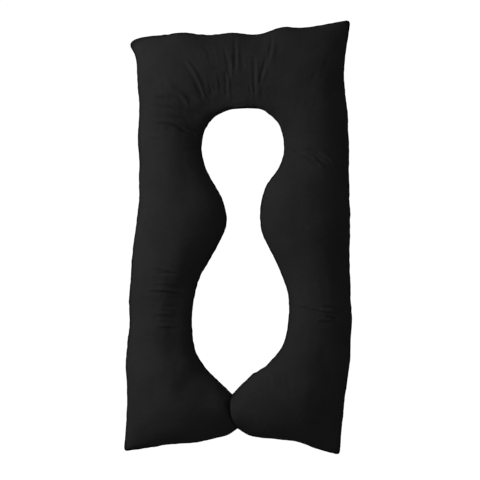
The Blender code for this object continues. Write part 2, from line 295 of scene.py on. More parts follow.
# How the cloth settles
SETTLE_FRAMES = 20
COTTON_CLOTH = {
    "quality": 6,
    "mass": 0.0005,  # of one point of the mesh
    "tension_stiffness": 40,
    "compression_stiffness": 2,
    "shear_stiffness": 8,
    "bending_stiffness": 0.3,
    "air_damping": 2,
    "use_pressure": True,
    "shrink_min": 0,
}
CLOTH_INSET = 0.002  # the cover starts this much smaller than the form
PLAIN_SHARE = 0.4  # how much of the cloth's movement is kept where it isn't gathered
GATHERED = 0.04  # and from this share of spare cloth on, all of it is kept
PINNED_HEIGHT = 0.003  # cloth lower than this lies on the surface and stays there
PINNED_TIP = 0.02  # so does the cloth this close to a tip, where the two legs press

# Seam and surface
SEAM_REACH = 0.0026  # half width of the groove at the seam
ROLL_SHARE = 0.6  # height of the cloth's roll on both sides of the groove, as a share of its depth
ROLL_REACH = 0.009
PUCKER_REACH = 0.011  # puckers are highest this far from the seam
PUCKER_LENGTHS = (0.023, 0.037, 0.061)
LUMP_LENGTHS = (0.09, 0.17)
TIP_CALM = 0.03  # lumps and puckers fade out over this distance to a tip
FLOOR_CALM = 0.02  # and over this height above the surface
RIPPLE_WAVES = 18  # a random relief is made of this many waves
RIPPLE_SPREAD = (0.75, 1.4)  # the shortest and the longest of them, as shares of the named length
RELIEF_SEED = 5

# Finish
CLOTH_UV = "cloth"
PANEL_SHIFT = 2.0  # the back panel's place on the cloth, beside the front panel's
DYE_UNEVENNESS = 0.35
STREAKS = (40.0, 110.0, 1.0)  # faint streaks in the dye: how many a metre, along and across the arms
STREAK_SHARE = 0.3  # of the unevenness, while the rest is mottled
# Painted shade: the cloth's colour darkens beside both seams, standing in for the shade at the rim
PAINTED_SEAM_SHADE = "seam shade"
PAINTED_SHADE_REACH = 0.019  # painted shade darkens the cloth's colour beside the seam over about this distance
PAINTED_SHADE_DARKNESS = 0.85
SLUBS = (420, 2.0)  # how many a metre, and the noise's detail
SLUB_HEIGHT = 0.5  # as a share of the threads' own height
CRUMPLES = (70, 4.0)
MOTTLES = (9, 6.0)
THREAD_RELIEF = 0.00012
CRUMPLE_RELIEF = 0.002
THREAD_TWIST_SCALE = 900.0
THREAD_WEAR = 1.6  # how much paler the raised strands of the thread are
STITCH_SLANTS = (0.6, 1.4)  # least and most, as shares of the slant that is set
STITCH_SIZES = (0.85, 1.15)

# Stage
SENSOR = 36.0
SIDE_LIGHT_PLACE = (-2.55, 0.95, 1.5)
TOP_LIGHT_PLACE = (-0.75, 2.75, 1.4)
LIGHT_SIZE = 1.0
FLOOR_DROP = 0.0005  # the floor lies just under the pillow's resting face


def as_records(columns, rows):
    return [dict(zip(columns, row)) for row in rows]


def smooth_step(value):
    value = np.clip(value, 0, 1)
    return value * value * (3 - 2 * value)


def bell(distance, reach=1):
    """1 in the middle, fading out over about this reach."""
    return np.exp(-((distance / reach) ** 2))


def unit(vectors):
    return vectors / np.linalg.norm(vectors, axis=-1, keepdims=True)


def distance_walked(points, axis=0):
    """The distance from the first point to each one, along one axis of a grid of points."""
    steps = np.linalg.norm(np.diff(points, axis=axis), axis=-1)
    return np.insert(np.cumsum(steps, axis=axis), 0, 0, axis=axis)


# The filled form


def spline_point(before, start, end, after, share):
    """A point between start and end on the centripetal Catmull-Rom curve through all four."""
    points = (before, start, end, after)
    knots = [0.0]
    for first, second in zip(points, points[1:]):
        knots.append(knots[-1] + max(math.dist(first, second), 1e-9) ** 0.5)
    at = knots[1] + share * (knots[2] - knots[1])

    def mix(low, high, a, b):
        return ((knots[high] - at) * a + (at - knots[low]) * b) / (knots[high] - knots[low])

    near = [mix(i, i + 1, points[i], points[i + 1]) for i in range(3)]
    wide = [mix(i, i + 2, near[i], near[i + 1]) for i in range(2)]
    return mix(1, 2, *wide)


def point_on(points, corners, place):
    """The curve through the points, at a place counted in points. It turns sharply at the corners."""
    span = min(int(place), len(points) - 2)
    start, end = points[span], points[span + 1]
    smooth_start = span > 0 and span not in corners
    smooth_end = span + 2 < len(points) and span + 1 not in corners
    before = points[span - 1] if smooth_start else 2 * start - end
    after = points[span + 2] if smooth_end else 2 * end - start
    return spline_point(before, start, end, after, place - span)


class Stations:
    """Sections of the pillow at a small step along the U: their seam points, crowns and places."""

    rows = as_records(SECTION_COLUMNS, SECTIONS)
    outer_points = [np.array((row["outer_x"], row["outer_y"])) * MM for row in rows]
    inner_points = [np.array((row["inner_x"], row["inner_y"])) * MM for row in rows]
    ears = [i for i, row in enumerate(rows) if row["name"].endswith("ear")]

    def __init__(self, steps_by_mesh, ear_steps=0):
        places = []
        seams = (self.outer_points, self.inner_points)
        for span, row in enumerate(self.rows[:-1]):
            length = sum(math.dist(*points[span : span + 2]) for points in seams) / 2
            steps = max(2, round(length / steps_by_mesh[row["mesh"]]))
            places += [span + k / steps for k in range(steps)]
        corners = [self.corner(ear) for ear in self.ears]
        for start, end in corners if ear_steps else ():
            clear = (end - start) / ear_steps / 2
            places = [at for at in places if not start - clear < at < end + clear]
            places += np.linspace(start, end, ear_steps).tolist()
        self.place = np.array(sorted(places) + [len(self.rows) - 1.0])
        self.outer = np.array([self.outer_point(at, corners) for at in self.place])
        self.inner = np.array([point_on(self.inner_points, (), at) for at in self.place])
        self.walked = distance_walked((self.outer + self.inner) / 2)
        crowns = np.array([row["crown"] for row in self.rows]) * MM
        at_rows = np.interp(np.arange(len(crowns)), self.place, self.walked)
        self.crown = self.level_at_ears(resample(crowns, at_rows, self.walked))
        self.to_tip = np.minimum(self.walked, self.walked[-1] - self.walked)
        self.side = np.where(self.walked < self.walked[-1] / 2, -1, 1)

    def corner(self, ear):
        """The places between which the outer seam turns the corner at an ear."""
        before, point, after = self.outer_points[ear - 1 : ear + 2]
        return ear - EAR_BLUNT / math.dist(before, point), ear + EAR_BLUNT / math.dist(point, after)

    def outer_point(self, at, corners):
        """The outer seam at a place, with its corners rounded."""
        for ear, (start, end) in zip(self.ears, corners):
            if start < at < end:
                turn = (at - start) / (end - start)
                first, last = (point_on(self.outer_points, self.ears, place) for place in (start, end))
                point = self.outer_points[ear]
                return (1 - turn) ** 2 * first + 2 * turn * (1 - turn) * point + turn**2 * last
        return point_on(self.outer_points, self.ears, at)

    def plan(self, across):
        """The grid of points seen from above, at these shares of the way from seam to seam."""
        bow = TIP_BOW * np.clip(1 - self.to_tip / TIP_BOW_LENGTH, 0, None) ** 2
        grid = self.outer[:, None] + (self.inner - self.outer)[:, None] * across[None, :, None]
        grid[..., 0] -= bow[:, None] * 4 * across * (1 - across)
        return grid

    def level_at_ears(self, values):
        """Values along the pillow without their slope at the ears, where it would show as a crease."""
        for ear in self.ears:
            at_ear = np.interp(ear, self.place, values)
            away = np.abs(self.walked - np.interp(ear, self.place, self.walked))
            values = at_ear + (values - at_ear) * smooth_step(away / EAR_LEVEL)
        return values

    def near_ear(self, plan):
        """How near each point of the plan is to an ear's point: 1 there, and 0 far away."""
        distances = [np.linalg.norm(plan - self.outer_points[ear], axis=-1) for ear in self.ears]
        return bell(np.min(distances, axis=0), EAR_REACH)

    def walked_to(self, section):
        """Distance along the pillow to a named section."""
        number = [row["name"] for row in self.rows].index(section)
        return float(np.interp(number, self.place, self.walked))


def share_across(turns):
    """Shares of the way from the outer to the inner seam, closer together near the seams."""
    return (1 - np.cos(turns)) / 2


def skin_swell(plan):
    """How high a filled skin stands over every point of the plan, from 0 at the seams.

    A skin blown up over an outline stands as high as the square root of the solution of Poisson's
    equation over it. That gives round sides along the arms, and ears that thin out to their points.
    """
    points = plan.reshape(-1, 2)
    index = np.arange(len(points)).reshape(plan.shape[:2])
    near, far = index[:-1], index[1:]
    lower = np.stack((near[:, :-1], far[:, :-1], far[:, 1:]), axis=-1)
    upper = np.stack((near[:, :-1], far[:, 1:], near[:, 1:]), axis=-1)
    triangles = np.concatenate((lower.reshape(-1, 3), upper.reshape(-1, 3)))
    stiffness = np.zeros((len(points), len(points)))
    load = np.zeros(len(points))
    for corner in range(3):
        first, second, third = np.roll(triangles, corner, axis=1).T
        one, other = points[first] - points[third], points[second] - points[third]
        twice_area = np.abs(one[:, 0] * other[:, 1] - one[:, 1] * other[:, 0])
        weight = (one * other).sum(axis=1) / twice_area / 2
        for i, j in ((first, second), (second, first)):
            np.add.at(stiffness, (i, j), -weight)
            np.add.at(stiffness, (i, i), weight)
        np.add.at(load, first, twice_area / 6)
    free = index[:, 1:-1].ravel()
    height = np.zeros(len(points))
    height[free] = np.linalg.solve(stiffness[np.ix_(free, free)], load[free])
    return np.sqrt(np.maximum(height, 0)).reshape(plan.shape[:2])


def resample(values, knots, at):
    """Values along the first axis, read at new places on the smooth curve through their knots."""
    slopes = np.gradient(values, knots, axis=0, edge_order=2)
    start = np.clip(np.searchsorted(knots, at, "right") - 1, 0, len(knots) - 2)
    column = (-1,) + (1,) * (values.ndim - 1)
    step = np.diff(knots)[start].reshape(column)
    share = (at - knots[start]).reshape(column) / step
    rest = 1 - share
    first = (1 + 2 * share) * values[start] + share * step * slopes[start]
    second = (1 + 2 * rest) * values[start + 1] - rest * step * slopes[start + 1]
    return rest**2 * first + share**2 * second


def resample_grid(values, known, turns, stations, new_turns):
    """Values on a grid of sections and turns, read on another grid."""
    along = resample(values, known.walked, np.interp(stations.place, known.place, known.walked))
    return np.moveaxis(resample(np.moveaxis(along, 1, 0), turns, new_turns), 0, 1)


def evened(values, walked, reach):
    """Values along the pillow, each replaced by an average over its neighbourhood."""
    weights = bell(walked[:, None] - walked, reach) * np.gradient(walked)
    return weights @ values / weights.sum(axis=1)


def soft_floor(height):
    """Heights kept at or above zero, rounded where they lift off."""
    rounded = (height + PRESSED_EDGE) ** 2 / (4 * PRESSED_EDGE)
    return np.where(height <= -PRESSED_EDGE, 0, np.where(height < PRESSED_EDGE, rounded, height))


def zone_share(stations, zones):
    """The share that a table of zones gives at each section."""
    rest = np.ones(len(stations.walked))
    for zone in as_records(ZONE_COLUMNS, zones):
        away = stations.walked - stations.walked_to(zone["section"])
        rest *= 1 - zone["share"] * bell(away, zone["reach"])
    return stations.level_at_ears(1 - rest)


class Form:
    """The filled pillow before its folds, on any grid of sections and turns."""

    def __init__(self):
        self.stations = stations = Stations(FORM_STEP, EAR_STEPS)
        self.turns = np.linspace(0, math.pi, FORM_TURNS + 1)
        plan = stations.plan(share_across(self.turns))
        swell = skin_swell(plan)
        crest = evened(swell.max(axis=1), stations.walked, CREST_EVENING)
        self.swell = swell / stations.level_at_ears(crest)[:, None]
        self.centre = (plan.min(axis=(0, 1)) + plan.max(axis=(0, 1))) / 2

    def swell_at(self, stations, turns):
        swell = resample_grid(self.swell, self.stations, self.turns, stations, turns)
        swell[:, (0, -1)] = 0
        inward = share_across(turns) ** 2  # level at the outer seam, where the sections turn at the ears
        fuller = zone_share(stations, FULL_INNER_SIDES)[:, None] * inward
        fuller += zone_share(stations, FULL_OUTER_SIDES)[:, None] * (1 - inward)
        return np.clip(swell, 0, None) ** (1 - fuller)

    def faces(self, stations, turns):
        """(upper, lower): grids of points from the outer to the inner seam, over and under."""
        across = share_across(turns)
        swell = self.swell_at(stations, turns)
        plan = stations.plan(across) - self.centre
        plan[..., 0] += (stations.side * TIP_GAP / 2)[:, None]
        rounding = np.sqrt(1 - (1 - np.clip(stations.to_tip / TIP_ROUNDING, 0, 1)) ** 2)
        thickness = (stations.crown * (TIP_FACE_SHARE + (1 - TIP_FACE_SHARE) * rounding))[:, None]
        droop = EAR_DROOP * stations.near_ear(stations.plan(across))
        level = SEAM_HEIGHT_SHARE + zone_share(stations, RAISED_INNER_SEAMS)[:, None] * across**2
        seam = level * stations.crown[:, None] - droop
        top = seam + (1 - level) * thickness * swell
        bottom = soft_floor(seam - (level * thickness + PRESSED_IN) * swell)
        return np.dstack((plan, top)), np.dstack((plan, bottom))

    def check(self):
        """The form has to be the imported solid's, or the cover would not stand for it."""
        plan = self.faces(self.stations, self.turns)[0][..., :2]
        made = np.array((plan.min(axis=(0, 1)), plan.max(axis=(0, 1))))
        packed = np.array([tuple(corner)[:2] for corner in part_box(SOLID)])
        if np.abs(made - packed).max() > FORM_TOLERANCE:
            raise ValueError(f"the form reaches {made.tolist()}, and the packed solid {packed.tolist()}")


# Meshes of the cover


def join_seams(upper, lower):
    """The two faces share their seam points."""
    for seam in (0, -1):
        shared = (upper[:, seam] + lower[:, seam]) / 2
        upper[:, seam] = lower[:, seam] = shared


def face_rows(grid_ids, upwards):
    """Quads of a grid of point numbers, facing up or down."""
    near, far = grid_ids[:-1], grid_ids[1:]
    corners = (near[:, :-1], near[:, 1:], far[:, 1:], far[:, :-1])
    return np.stack(corners if upwards else corners[::-1], axis=-1).reshape(-1, 4)


def along_folds(quads, normals):
    """The same quads, each numbered so that it is cut into triangles along a fold, not across it."""
    corners = normals[quads]
    first, second = (np.linalg.norm(corners[:, i] - corners[:, i + 2], axis=1) for i in (0, 1))
    return np.where((second < first)[:, None], np.roll(quads, -1, axis=1), quads)


class CoverMesh:
    """Point numbers and faces of a closed cover, from its upper and lower grids."""

    def __init__(self, rings, columns, under=None):
        """under: which columns of the upper grid the lower one has too."""
        self.under = np.arange(columns) if under is None else under
        self.ring_size = columns + len(self.under) - 2
        ring = np.arange(rings)[:, None] * self.ring_size
        self.upper_ids = ring + np.arange(columns)
        self.lower_ids = ring + (self.ring_size - np.arange(len(self.under))) % self.ring_size
        self.upper_faces = face_rows(self.upper_ids, True)
        self.lower_faces = face_rows(self.lower_ids, False)
        self.tip_faces = self.tip(0) + [face[::-1] for face in self.tip(-1)]

    def tip(self, ring):
        """Strips that close the pillow at a leg's tip, from the lower to the upper face."""
        low, high = self.lower_ids[ring], self.upper_ids[ring]
        strips = []
        for j, (first, last) in enumerate(zip(self.under, self.under[1:])):
            corners = (low[j], low[j + 1], *high[first : last + 1][::-1])
            strips.append(list(dict.fromkeys(int(corner) for corner in corners)))
        return strips

    def around(self, upper, lower):
        """The values of both grids in the order of the mesh's points."""
        rings = np.concatenate((upper, lower[:, -2:0:-1]), axis=1)
        return rings.reshape(-1, *upper.shape[2:])

    def build(self, name, upper, lower):
        mesh = bpy.data.meshes.new(name)
        quads = np.concatenate((self.upper_faces, self.lower_faces))
        faces = along_folds(quads, self.around(*outward(upper, lower))).tolist() + self.tip_faces
        mesh.from_pydata(self.around(upper, lower).tolist(), [], faces)
        mesh.validate()
        return mesh


def outward(upper, lower):
    """Unit normals of both grids, shared along the seams."""
    signed = ((upper, -1), (lower, 1))
    normals = [unit(sign * np.cross(*np.gradient(grid, axis=(0, 1)))) for grid, sign in signed]
    join_seams(*normals)
    return [unit(grid) for grid in normals]


def new_object(name, mesh):
    made = bpy.data.objects.new(name, mesh)
    bpy.context.scene.collection.objects.link(made)
    return made


# The cloth settles


def settle_cloth(form, settings):
    """(stations, turns, upper, lower): how far the cover moves off the form as blown-up cloth."""
    stations = Stations(CLOTH_STEP)
    turns = np.linspace(0, math.pi, CLOTH_TURNS + 1)
    upper, lower = form.faces(stations, turns)
    cover = CoverMesh(*upper.shape[:2])
    slack = CLOTH_INSET * smooth_step(stations.to_tip / TIP_CALM)[:, None, None]
    inset = [grid - slack * normals for grid, normals in zip((upper, lower), outward(upper, lower))]
    cloth = new_object("settling_cloth", cover.build("settling_cloth", *inset))
    points = cover.around(*inset)

    low = points[:, 2] < PINNED_HEIGHT
    tip = np.repeat(stations.to_tip < PINNED_TIP, cover.ring_size)
    seam = np.zeros(len(points), dtype=bool)
    seam[cover.upper_ids[:, (0, -1)].ravel()] = True
    pins = cloth.vertex_groups.new(name="pins")
    pins.add(np.flatnonzero(low | tip | seam).tolist(), 1.0, "REPLACE")

    spare = cloth.vertex_groups.new(name="spare")
    for number, share in enumerate(zone_share(stations, SPARE_CLOTH)):
        ring = range(number * cover.ring_size, (number + 1) * cover.ring_size)
        spare.add(ring, float(share / FULL_SPARE), "REPLACE")

    modifier = cloth.modifiers.new("Cloth", "CLOTH")
    cotton = modifier.settings
    for name, value in COTTON_CLOTH.items():
        setattr(cotton, name, value)
    cotton.uniform_pressure_force = settings.pressure
    cotton.vertex_group_mass = pins.name
    cotton.vertex_group_shrink = spare.name
    cotton.shrink_max = -FULL_SPARE * settings.spare_cloth
    cotton.effector_weights.gravity = 0
    modifier.collision_settings.use_collision = False
    modifier.point_cache.frame_start = 1
    modifier.point_cache.frame_end = SETTLE_FRAMES
    scene = bpy.context.scene
    for frame_number in range(1, SETTLE_FRAMES + 1):
        scene.frame_set(frame_number)
    settled = cloth.evaluated_get(bpy.context.evaluated_depsgraph_get()).to_mesh()
    moved = np.empty(len(points) * 3)
    settled.vertices.foreach_get("co", moved)
    mesh = cloth.data
    bpy.data.objects.remove(cloth)
    bpy.data.meshes.remove(mesh)
    scene.frame_set(1)

    shift = moved.reshape(-1, 3) - cover.around(upper, lower)
    size = np.linalg.norm(shift, axis=1, keepdims=True) + 1e-12
    limit = settings.bulge_limit
    shift *= limit * np.tanh(size / limit) / size
    gathered = np.minimum(zone_share(stations, SPARE_CLOTH) / GATHERED, 1)
    kept = PLAIN_SHARE + (1 - PLAIN_SHARE) * gathered
    shift *= np.repeat(kept, cover.ring_size)[:, None]
    shift[seam] = 0
    return stations, turns, shift[cover.upper_ids], shift[cover.lower_ids]


# Folds and relief


def stray(along, length, rng):
    """A slow stray from a straight line, between -1 and 1."""
    turns = math.pi * (1 + length / FOLD_WAVE)
    starts = rng.uniform(0, 2 * math.pi, len(FOLD_STRAYS))
    waves = zip(FOLD_STRAYS, starts)
    return sum(share * np.sin(quick * turns * along + start) for (share, quick), start in waves)


def line_in_plan(row):
    """(start, unit vector to the end, length) of a row's line."""
    start = np.array((row["start_x"], row["start_y"])) * MM
    run = np.array((row["end_x"], row["end_y"])) * MM - start
    length = np.linalg.norm(run)
    return start, run / length, length


def broad_relief(plan):
    """How far the filling raises or sinks the upper face at these points seen from above."""
    relief = np.zeros(plan.shape[:2])
    for form in as_records(FORM_COLUMNS, BROAD_FORMS):
        start, ahead, length = line_in_plan(form)
        away = plan - start
        nearest = np.clip(away @ ahead, 0, length)[..., None] * ahead
        distance = np.linalg.norm(away - nearest, axis=-1)
        relief += form["height"] * MM * bell(distance, form["reach"] * MM)
    return relief


def fold_relief(plan):
    """How far the folds raise or sink the upper face at these points seen from above."""
    relief = np.zeros(plan.shape[:2])
    rng = np.random.default_rng(FOLD_SEED)
    for fold in as_records(FOLD_COLUMNS, FOLDS):
        start, ahead, length = line_in_plan(fold)
        away = plan - start
        along = np.clip(away @ ahead / length, 0, 1)
        offset = away @ np.array((-ahead[1], ahead[0])) - fold["bend"] * MM * 4 * along * (1 - along)
        widths = offset / (fold["width"] * MM) + FOLD_WANDER * stray(along, length, rng)
        fade = np.sin(math.pi * along) ** FOLD_FADE
        relief += fold["height"] * MM * fade * bell(widths)
    return relief


def ripples(points, length, rng):
    """A smooth random relief over points, mostly between -1 and 1, with bumps of about this length."""
    directions = unit(rng.normal(size=(RIPPLE_WAVES, points.shape[-1])))
    numbers = 2 * math.pi / (length * rng.uniform(*RIPPLE_SPREAD, RIPPLE_WAVES))
    phases = rng.uniform(0, 2 * math.pi, RIPPLE_WAVES)
    waves = zip(directions, numbers, phases)
    total = sum(np.sin(points @ direction * number + phase) for direction, number, phase in waves)
    return total / math.sqrt(RIPPLE_WAVES)


def mean_ripples(points, lengths, rng):
    """Bumps of several lengths at once."""
    return sum(ripples(points, length, rng) for length in lengths) / len(lengths)


def pucker_relief(edge, from_seam, rng):
    """Small ripples that the seam thread gathers, on one face beside one seam."""
    wave = mean_ripples(distance_walked(edge)[:, None], PUCKER_LENGTHS, rng)
    reach = from_seam / PUCKER_REACH
    return wave[:, None] * reach * np.exp(1 - reach)


def finished_faces(form, stations, turns, under, settings, settled):
    """(upper, lower, seam distances): the form with its settled cloth, folds, lumps and seams."""
    upper, lower = form.faces(stations, turns)
    lower = lower[:, under]
    plan = upper[..., :2] + form.centre
    relief = broad_relief(plan) + settings.fold_strength * fold_relief(plan)
    if settled:
        cloth_stations, cloth_turns, upper_shift, lower_shift = settled
        knots = (cloth_stations, cloth_turns, stations)
        upper += resample_grid(upper_shift, *knots, turns)
        lower += resample_grid(lower_shift, *knots, turns[under])
    upper[..., 2] += relief * form.swell_at(stations, turns)
    calm_tip = smooth_step(stations.to_tip / TIP_CALM)[:, None]
    seeds = np.random.default_rng(RELIEF_SEED).integers(0, 2**31, 2)
    seam_distances = []
    for grid, normals in zip((upper, lower), outward(upper, lower)):
        from_outer = distance_walked(grid, axis=1)
        from_inner = from_outer[:, -1:] - from_outer
        from_seam = np.minimum(from_outer, from_inner)
        seam_distances.append(from_seam)
        lump_rng, pucker_rng = (np.random.default_rng(seed) for seed in seeds)
        relief = mean_ripples(grid, LUMP_LENGTHS, lump_rng) * settings.lump_height
        seams = ((stations.outer, from_outer), (stations.inner, from_inner))
        relief += settings.pucker_height * sum(pucker_relief(*seam, pucker_rng) for seam in seams)
        relief *= calm_tip * smooth_step(grid[..., 2] / FLOOR_CALM)
        roll = ROLL_SHARE * bell(from_seam, ROLL_REACH)
        relief += settings.groove_depth * (roll - bell(from_seam, SEAM_REACH))
        grid += relief[..., None] * normals
        grid[..., 2] = np.maximum(grid[..., 2], 0)
    join_seams(upper, lower)
    return upper, lower, seam_distances


# Materials


def node(tree, kind, inputs=None, **settings):
    """Adds a node. Each input takes a value, or the socket that feeds it."""
    made = tree.nodes.new(kind)
    for name, value in settings.items():
        setattr(made, name, value)
    for key, value in (inputs or {}).items():
        if isinstance(value, bpy.types.NodeSocket):
            tree.links.new(value, made.inputs[key])
        else:
            made.inputs[key].default_value = value
    return made


def output(tree, kind, inputs=None, **settings):
    """Adds a node and gives its first output."""
    return node(tree, kind, inputs, **settings).outputs[0]


def maths(tree, operation, first, second=0.0):
    return output(tree, "ShaderNodeMath", {0: first, 1: second}, operation=operation)


def new_material(name):
    material = bpy.data.materials.new(name)
    material.use_nodes = True
    tree = material.node_tree
    tree.nodes.clear()
    return material, tree


def shade(tree, kind, inputs):
    """Ends a material in this shader."""
    node(tree, "ShaderNodeOutputMaterial", {"Surface": output(tree, kind, inputs)})


def speckle(tree, place, scale, detail=2.0):
    return output(tree, "ShaderNodeTexNoise", {"Vector": place, "Scale": scale, "Detail": detail})


def scaled(colour, share):
    return [channel * share for channel in colour]


def blend_colours(tree, share, first, second):
    """Two colours mixed. The first may be a socket."""
    first = first if isinstance(first, bpy.types.NodeSocket) else (*first, 1)
    colours = {0: share, 6: first, 7: (*second, 1)}
    return node(tree, "ShaderNodeMix", colours, data_type="RGBA").outputs[2]


def cotton_material(settings):
    """Matte black plain-woven cotton: threads in relief, faint slubs, uneven dye, a little sheen, and
    painted shade beside the seams.
    """
    material, tree = new_material("black woven cotton")
    cloth = output(tree, "ShaderNodeUVMap", uv_map=CLOTH_UV)
    place = node(tree, "ShaderNodeTexCoord").outputs["Object"]
    threads = node(tree, "ShaderNodeSeparateXYZ", {0: cloth}).outputs
    turn = math.pi / settings.weave_pitch
    warp, weft = (maths(tree, "SINE", maths(tree, "MULTIPLY", threads[i], turn)) for i in (0, 1))
    weave = maths(tree, "MULTIPLY", warp, weft)
    slub = speckle(tree, cloth, *SLUBS)
    crumple = speckle(tree, place, *CRUMPLES)
    mottle = speckle(tree, place, *MOTTLES)
    streaks = speckle(tree, output(tree, "ShaderNodeMapping", {"Vector": cloth, "Scale": STREAKS}), 1)

    mottled = maths(tree, "MULTIPLY", mottle, 1 - STREAK_SHARE)
    dye = maths(tree, "ADD", mottled, maths(tree, "MULTIPLY", streaks, STREAK_SHARE))
    # The last of these colours is painted shade, which the cloth takes beside the seams
    deep, faded, painted_shade_colour = (
        scaled(settings.cloth_colour, share)
        for share in (1 - DYE_UNEVENNESS, 1 + DYE_UNEVENNESS, 1 - PAINTED_SHADE_DARKNESS)
    )
    dyed = blend_colours(tree, dye, deep, faded)
    # Painted shade: how far the colour is darkened beside the seams
    painted_shade = node(tree, "ShaderNodeAttribute", attribute_name=PAINTED_SEAM_SHADE).outputs["Fac"]
    rough = output(tree, "ShaderNodeMapRange", {"Value": slub, "To Min": 0.78, "To Max": 0.95})
    thick = maths(tree, "MULTIPLY", slub, SLUB_HEIGHT)
    height = maths(tree, "ADD", maths(tree, "MULTIPLY", weave, slub), thick)
    woven = {"Height": height, "Strength": 0.6, "Distance": THREAD_RELIEF}
    relief = output(tree, "ShaderNodeBump", woven)
    crumpled = {"Height": crumple, "Strength": 0.5, "Distance": CRUMPLE_RELIEF, "Normal": relief}
    finish = {
        "Base Color": blend_colours(tree, painted_shade, dyed, painted_shade_colour),
        "Roughness": rough,
        "Normal": output(tree, "ShaderNodeBump", crumpled),
        "Specular IOR Level": 0.02,
        "Sheen Weight": 0.01,
        "Sheen Roughness": 0.5,
    }
    shade(tree, "ShaderNodeBsdfPrincipled", finish)
    return material


def thread_material(settings):
    """Black sewing thread with its twist."""
    material, tree = new_material("black sewing thread")
    place = node(tree, "ShaderNodeTexCoord").outputs["Object"]
    twist = {"Vector": place, "Scale": THREAD_TWIST_SCALE, "Distortion": 1.0}
    strands = node(tree, "ShaderNodeTexWave", twist, bands_direction="DIAGONAL").outputs["Fac"]
    colour = settings.thread_colour
    finish = {
        "Base Color": blend_colours(tree, strands, colour, scaled(colour, THREAD_WEAR)),
        "Normal": output(tree, "ShaderNodeBump", {"Height": strands, "Distance": THREAD_RELIEF}),
        "Roughness": 0.55,
        "Specular IOR Level": 0.3,
    }
    shade(tree, "ShaderNodeBsdfPrincipled", finish)
    return material


def floor_material(settings):
    """Plain pale floor, lit evenly from below. It throws little light back onto the pillow."""
    material, tree = new_material("pale studio floor")
    seen = node(tree, "ShaderNodeLightPath").outputs["Is Camera Ray"]
    glow = {"Value": seen, "To Min": settings.floor_bounce, "To Max": settings.floor_glow}
    strength = output(tree, "ShaderNodeMapRange", glow)
    shade(tree, "ShaderNodeEmission", {"Color": (*settings.floor_colour, 1), "Strength": strength})
    return material


# Settings


def amount_of(name, description, default, **limits):
    limits = {"min": 0, **limits}
    return FloatProperty(name=name, description=description, default=default, **limits)


def size_of(name, description, default, least=0):
    return amount_of(name, description, default, min=least, unit="LENGTH", precision=5)


def share_of(name, description, most):
    return amount_of(name, f"{description}, as a share of the table's", 1, subtype="FACTOR", max=most)


def colour_of(name, description, default):
    return FloatVectorProperty(
        name=name, description=description, default=default, size=3, min=0, max=1, subtype="COLOR"
    )


class PillowCoverSettings(bpy.types.PropertyGroup):
    """Sizes and colour of the cover."""

    cloth_colour: colour_of("Cloth colour", "Colour of the cotton cover", (0.018, 0.018, 0.018))
    weave_pitch: size_of("Weave pitch", "Distance from one thread of the cloth to the next", 0.0006, 0.0002)
    fold_strength: share_of("Fold strength", "Height of the folds", 2)
    pressure: amount_of("Pressure", "Pressure of the filling while the cloth settles", 4)
    spare_cloth: share_of("Spare cloth", "Spare length in the gathered zones", 3)
    bulge_limit: size_of("Bulge limit", "How far the cloth may move off the filled form", 0.007)
    lump_height: size_of("Lump height", "Height of the filling's lumps", 0.0016)
    pucker_height: size_of("Pucker height", "Height of the puckers beside the seam", 0.0011)
    groove_depth: size_of("Seam depth", "How far the seam is drawn in", 0.0022)


class PillowSeamSettings(bpy.types.PropertyGroup):
    """Sizes and colour of the seam's stitches."""

    pitch: size_of("Stitch pitch", "Distance from one stitch to the next along the seam", 0.003, 0.001)
    length: size_of("Stitch length", "Length of the thread that shows across the seam", 0.0022, 0.0005)
    thread_radius: size_of("Thread radius", "Radius of the sewing thread", 0.00032, 0.0001)
    slant: amount_of("Slant", "How far the stitches lean along the seam", math.radians(24), subtype="ANGLE")
    seed: IntProperty(name="Seed", description="Seed of the stitches' small differences", min=0, default=3)
    thread_colour: colour_of("Thread colour", "Colour of the sewing thread", (0.009, 0.009, 0.009))


class PillowStageSettings(bpy.types.PropertyGroup):
    """The floor, the lights and the camera."""

    floor_size: size_of("Floor size", "Width of the floor", 60, 2)
    floor_colour: colour_of("Floor colour", "Colour of the plain floor", (0.95, 0.95, 0.95))
    floor_glow: amount_of("Floor glow", "How bright the floor looks to the camera", 1.1)
    floor_bounce: amount_of("Floor bounce", "How much light the floor throws back onto the pillow", 0.08)
    side_light: amount_of("Side light", "Power of the soft light on the left", 73, unit="POWER")
    top_light: amount_of("Top light", "Power of the weaker light beyond the arch", 8, unit="POWER")
    sky: amount_of("Sky", "Strength of the even white light all round", 0.35)
    camera_height: size_of("Camera height", "Height of the camera above the floor", 12, 2)
    view_width: size_of("View width", "Width that the camera sees at the height of the rim", 1.44, 0.5)
    view_centre: FloatVectorProperty(
        name="View centre",
        description="The point of the floor below the camera",
        unit="LENGTH",
        size=2,
        default=(0.007, -0.00675),
    )


# Operators


def cloth_places(upper, lower):
    """Where every point lies on the flat cloth of its panel, with the grain along X and Y."""
    places = []
    for grid, shift in ((upper, 0), (lower, PANEL_SHIFT)):
        ridge = slice(grid.shape[1] // 2, grid.shape[1] // 2 + 1)
        walked = distance_walked(grid, axis=1)
        across = unit(grid[:, -1, :2] - grid[:, 0, :2])[:, None]
        places.append(grid[:, ridge, :2] + across * (walked - walked[:, ridge])[..., None] + (shift, 0))
    return places


def lay_cloth(mesh, cover, places):
    """Writes the cloth's own coordinates to the mesh. At the seams each face takes its own panel's."""
    corners = np.empty(len(mesh.loops), dtype=np.int32)
    mesh.loops.foreach_get("vertex_index", corners)
    front, back = np.zeros((2, len(mesh.vertices), 2))
    front[cover.lower_ids] = back[cover.lower_ids] = places[1]
    front[cover.upper_ids] = places[0]
    laid = front[corners]
    first = cover.upper_faces.size
    under = slice(first, first + cover.lower_faces.size)
    laid[under] = back[corners[under]]
    layer = mesh.uv_layers.new(name=CLOTH_UV)
    layer.uv.foreach_set("vector", laid.ravel())


